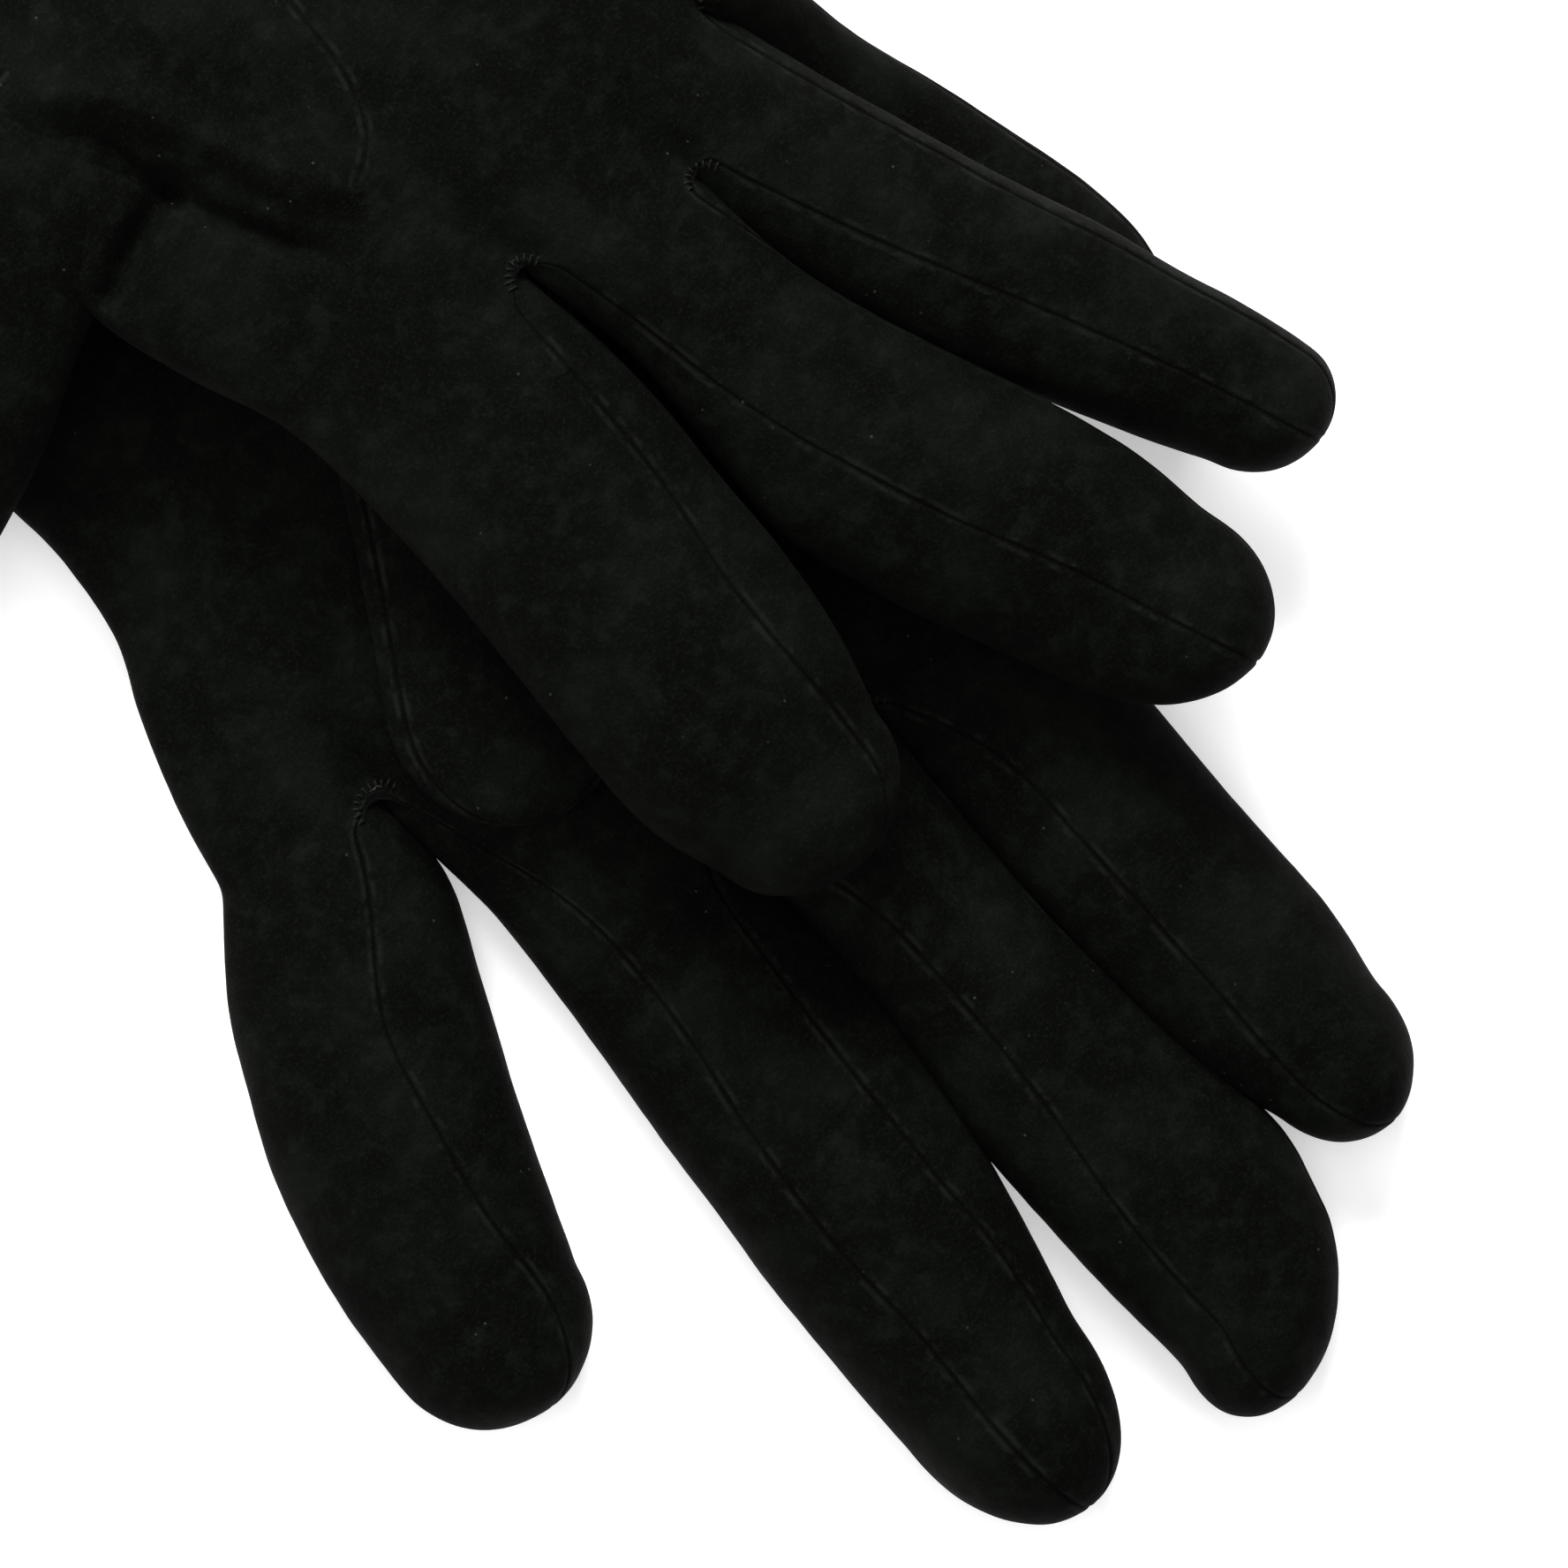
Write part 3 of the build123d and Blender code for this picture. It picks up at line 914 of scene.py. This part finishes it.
def leather_material():
    """Soft near-black glove leather: fine nap, cloudy wear, dark seams, a painted highlight along the
    seam lips and specks of lint.
    """
    n = Nodes("glove_leather")
    rest = n.attribute("rest").outputs["Vector"]
    seam = n.attribute("seam").outputs["Fac"]
    cloud = n.remap(n.noise(rest, 12.0, 3.0), 0.38, 0.70, 0, 1)
    patch = n.remap(n.noise(rest, 3.0, 5.0, 0.68), 0.46, 0.72, 0, 1)
    nap = n.noise(rest, 0.42, 4.0, 0.75)
    fleck = n.remap(nap, 0.48, 0.74, 0, 1)
    colour = n.mix(cloud, (0.0006, 0.0009, 0.0005), (0.0017, 0.0023, 0.0014))
    colour = n.mix(n.math("MULTIPLY", patch, 0.50), colour, (0.0046, 0.0056, 0.0041))
    colour = n.mix(n.math("MULTIPLY", fleck, 0.55), colour, (0.0070, 0.0080, 0.0062))
    # Painted highlight: a lighter band on each side of a seam, where its raised lips would catch the
    # light, broken up by noise
    lip_breakup = n.remap(n.noise(rest, 3.2, 4.0, 0.6), 0.45, 0.62, 0, 1)
    lips = n.math("MULTIPLY", n.remap(seam, 0.2, 0.5, 0, 1), n.remap(seam, 0.6, 1.1, 1, 0))
    lip_highlight = n.math("MULTIPLY", n.math("MULTIPLY", lips, lip_breakup), 0.5)
    colour = n.mix(lip_highlight, colour, (0.0095, 0.0108, 0.0085))
    stitched = n.remap(seam, 0.05, 0.24, 0.75, 0)
    colour = n.mix(stitched, colour, (0.0002, 0.0002, 0.0002))
    specks = n.add("ShaderNodeTexVoronoi", feature="F1")
    specks.inputs["Scale"].default_value = 1 / 3.2
    n.link(rest, specks.inputs["Vector"])
    lint = n.remap(specks.outputs["Distance"], 0.025, 0.07, 1, 0)
    lint = n.math("MULTIPLY", lint, n.remap(n.noise(rest, 9.0, 2.0), 0.5, 0.62, 0, 0.7))
    colour = n.mix(lint, colour, (0.034, 0.037, 0.032))
    n.link(colour, n.shader.inputs["Base Color"])
    rough = n.math("SUBTRACT", 0.78, n.math("MULTIPLY", cloud, 0.12))
    n.link(rough, n.shader.inputs["Roughness"])
    n.shader.inputs["Specular IOR Level"].default_value = 0.03
    n.shader.inputs["Sheen Weight"].default_value = 0.004
    n.shader.inputs["Sheen Roughness"].default_value = 0.55
    n.shader.inputs["Sheen Tint"].default_value = (0.80, 0.88, 0.76, 1.0)
    creases = n.bump(n.noise(rest, 2.2, 5.0, 0.62), 0.00042, 0.75)
    grain = n.bump(nap, 0.00016, 0.8, creases)
    n.link(grain, n.shader.inputs["Normal"])
    return n.material


def lining_material():
    """Fine dark knit: ribs of small loops, softly fuzzy."""
    n = Nodes("knitted_lining")
    rest = n.attribute("rest").outputs["Vector"]
    ribs = n.add("ShaderNodeTexWave", wave_type="BANDS", bands_direction="X")
    ribs.inputs["Scale"].default_value = 0.26
    ribs.inputs["Distortion"].default_value = 0.6
    n.link(rest, ribs.inputs["Vector"])
    rows = n.add("ShaderNodeTexWave", wave_type="BANDS", bands_direction="Y")
    rows.inputs["Scale"].default_value = 0.36
    rows.inputs["Distortion"].default_value = 0.8
    n.link(rest, rows.inputs["Vector"])
    loops = n.math("MULTIPLY", ribs.outputs["Fac"], rows.outputs["Fac"])
    fuzz = n.noise(rest, 0.6, 4.0)
    colour = n.mix(loops, (0.010, 0.010, 0.011), (0.036, 0.037, 0.038))
    n.link(colour, n.shader.inputs["Base Color"])
    n.link(n.remap(fuzz, 0.2, 0.8, 0.82, 0.95), n.shader.inputs["Roughness"])
    n.shader.inputs["Sheen Weight"].default_value = 0.3
    n.link(n.bump(n.math("ADD", loops, fuzz), 0.00025, 0.9), n.shader.inputs["Normal"])
    return n.material


def thread_material():
    n = Nodes("thread")
    place = n.add("ShaderNodeTexCoord").outputs["Object"]
    twist = n.add("ShaderNodeTexWave", wave_type="BANDS", bands_direction="DIAGONAL")
    twist.inputs["Scale"].default_value = 900.0
    n.link(place, twist.inputs["Vector"])
    colour = n.mix(twist.outputs["Fac"], (0.002, 0.0025, 0.002), (0.0075, 0.0085, 0.0070))
    n.link(colour, n.shader.inputs["Base Color"])
    n.shader.inputs["Roughness"].default_value = 0.6
    n.shader.inputs["Specular IOR Level"].default_value = 0.08
    n.link(n.bump(twist.outputs["Fac"], 0.0001, 0.5), n.shader.inputs["Normal"])
    return n.material


def floor_material():
    n = Nodes("pale_glowing_floor")
    place = n.add("ShaderNodeTexCoord").outputs["Object"]
    tone = n.noise(place, 0.4, 2.0)
    n.link(n.mix(tone, (0.86, 0.86, 0.86), (0.90, 0.90, 0.90)), n.shader.inputs["Base Color"])
    n.shader.inputs["Roughness"].default_value = 0.9
    # The floor glows a little of its own: painted light that keeps the shadows on it faint
    n.shader.inputs["Emission Color"].default_value = (1.0, 1.0, 1.0, 1.0)
    n.shader.inputs["Emission Strength"].default_value = 0.42
    return n.material


# ---------------------------------------------------------------- the pair of gloves


THREAD_TONE = thread_material()
LEATHER_TONE = leather_material()
LINING_TONE = lining_material()

LEFT_FINGERS = [f.name for f in LEFT_GLOVE.fingers]
RIGHT_FINGERS = [f.name for f in RIGHT_GLOVE.fingers]
LEFT_STRIPS = [
    "thumb_edge", "index_middle_fourchette", "middle_ring_fourchette",
    "ring_little_fourchette", "little_edge",
]
RIGHT_STRIPS = [
    "little_edge", "middle_ring_fourchette", "index_middle_fourchette", "wrist_edge", "thumb_web",
]

RIGHT_FOLDS = [
    Stroke([(-13, -27), (-8.0, -37), (-4.6, -47), (-1.6, -56.2), (4, -63), (11, -64)], 2.1, 2.7),
    Stroke([(-5, -26), (-2.6, -32), (0.4, -39.5), (2.4, -46.8), (4.4, -56), (6.0, -60)], -2.0, 1.3),
    Stroke([(-1.0, -47), (5, -45.8), (11, -44.4), (18, -42)], -2.8, 1.9),
    Stroke([(-22, -56), (-8, -60), (4, -62), (16, -62), (26, -60)], 2.6, 10.0),
    Stroke([(-40, -30), (-30, -52), (-26, -80)], -0.8, 6.0),
    Stroke([(-60, -45), (-40, -62), (-22, -68)], 0.7, 7.0),
    Stroke([(-55, -112), (-30, -104), (-4, -112)], -1.3, 6.0),
    Stroke([(-60, -128), (-30, -121), (-2, -128)], 0.9, 5.0),
    Stroke([(-34, -176), (-31, -160), (-36, -135)], -2.0, 11.0),
    Stroke([(-74, -140), (-52, -150), (-40, -168)], 0.9, 6.0),
]
RIGHT_SEAMS = [
    [(-18, -76), (-22, -64), (-23, -55), (-22, -47), (-20, -38.5), (-17, -33.5), (-12, -30.8)],
]
LEFT_FOLDS = [
    Stroke([(6, -118), (2, -100), (-4, -80)], -1.6, 10.0),
    Stroke([(34, -84), (18, -92), (8, -108)], 0.8, 5.0),
    Stroke([(-30, 20), (0, 28), (40, 5)], -0.8, 6.0),
    Stroke([(-35, -60), (0, -70), (38, -62)], -0.9, 6.0),
]

# The bar of stitches that closes each crotch where the fourchette turns
CROTCH_STITCHES = {
    "left": [
        [(40.8, 16.6), (40.2, 15.0), (38.0, 14.1), (36.0, 14.8), (35.0, 16.8)],
        [(12.6, 49.6), (14.0, 47.6), (15.4, 49.0)],
        [(-9.4, 51.6), (-8.0, 49.6), (-6.6, 51.4)],
    ],
    "right": [
        [(-19.6, -10.0), (-18.9, -11.6), (-17.5, -12.3), (-16.0, -11.6), (-15.2, -9.8)],
        [(-40.8, -2.2), (-40.0, -3.8), (-38.5, -4.4), (-37.1, -3.7), (-36.7, -2.2)],
        [(-55.0, -14.6), (-53.5, -16.4), (-52.0, -14.6)],
    ],
}

left_mesh = subdivided(build_glove(LEFT_GLOVE), "left_glove", LEATHER_LEVELS)
detail(left_mesh, LEFT_GLOVE, LEFT_FOLDS, seed=2)
make_leather("left", left_mesh, LEFT_FINGERS, LEFT_STRIPS, LEATHER_TONE)
make_thumb("left", LEFT_THUMB, (False, False), LEATHER_TONE, 4)
make_lining("left", LEFT_GLOVE, LEFT_FOLDS, LEFT_FINGERS, LINING_TONE, LEFT_THUMB)

right_mesh = subdivided(build_glove(RIGHT_GLOVE), "right_glove", LEATHER_LEVELS)
detail(right_mesh, RIGHT_GLOVE, RIGHT_FOLDS, RIGHT_SEAMS, seed=6)
make_leather("right", right_mesh, RIGHT_FINGERS, RIGHT_STRIPS, LEATHER_TONE)
make_thumb("right", RIGHT_THUMB, (True, False), LEATHER_TONE, 8)
make_lining("right", RIGHT_GLOVE, RIGHT_FOLDS, RIGHT_FINGERS, LINING_TONE, RIGHT_THUMB)

for side, glove, mesh in (("left", LEFT_GLOVE, left_mesh), ("right", RIGHT_GLOVE, right_mesh)):
    (left_x, left_y), (right_x, right_y) = glove.left_side[-1], glove.right_side[-1]
    line = [(left_x + 2, left_y + HEM_STITCH), (right_x - 2, right_y + HEM_STITCH)]
    rows = [(line, 3.0, 2.1, False, True), (line, 3.0, 2.1, False, False)]
    stitch_rows(f"{side}_hem_thread", mesh, rows, f"{side}_hand", THREAD_TONE)
    rows = [(line, 0.75, 1.1, True, True) for line in CROTCH_STITCHES[side]]
    stitch_rows(f"{side}_crotch_thread", mesh, rows, f"{side}_hand", THREAD_TONE)

for mesh in (left_mesh, right_mesh):
    bpy.data.meshes.remove(mesh)

# ---------------------------------------------------------------- stage, light and camera

FRAME_CENTER = Vector(in_frame_point(5.4, 49.0, 13.0))
FRAME_WIDTH = 0.1776
LIGHT_AIM = Vector((0.0, 0.0, 0.02))
IMAGE_RIGHT = Vector((-0.669, 0.743, 0.0)).normalized()

bpy.ops.mesh.primitive_plane_add(size=6.0, location=(0, 0, 0))
floor = bpy.context.object
floor.name = "floor"
floor.data.materials.append(floor_material())

camera_data = bpy.data.cameras.new("camera")
camera_data.lens = 200.0
camera_data.sensor_width = 36.0
camera_data.clip_start = 0.01
camera = bpy.data.objects.new("camera", camera_data)
bpy.context.collection.objects.link(camera)
distance = FRAME_WIDTH * camera_data.lens / camera_data.sensor_width
up = Vector((0, 0, 1))
image_up = up.cross(IMAGE_RIGHT)
turn = Matrix((IMAGE_RIGHT, image_up, up)).transposed().to_4x4()
camera.matrix_world = Matrix.Translation(FRAME_CENTER + up * distance) @ turn
bpy.context.scene.camera = camera


def softbox(name, spot, size, power):
    data = bpy.data.lights.new(name, "AREA")
    data.shape = "RECTANGLE"
    data.size, data.size_y = size
    data.energy = power
    light = bpy.data.objects.new(name, data)
    bpy.context.collection.objects.link(light)
    light.location = spot
    light.rotation_euler = (LIGHT_AIM - spot).to_track_quat("-Z", "Y").to_euler()


softbox("key", FRAME_CENTER + IMAGE_RIGHT * -0.15 + image_up * 0.85 + up * 0.62, (0.7, 0.4), 19.0)
softbox("fill", FRAME_CENTER + IMAGE_RIGHT * -0.8 + image_up * -0.35 + up * 0.6, (0.8, 0.8), 5.0)
softbox("top", FRAME_CENTER + up * 1.4, (1.4, 1.4), 9.0)
world = bpy.data.worlds.new("studio")
world.use_nodes = True
world.node_tree.nodes["Background"].inputs["Color"].default_value = (1.0, 1.0, 1.0, 1.0)
world.node_tree.nodes["Background"].inputs["Strength"].default_value = 0.28
bpy.context.scene.world = world
bpy.context.scene.view_settings.view_transform = "Standard"
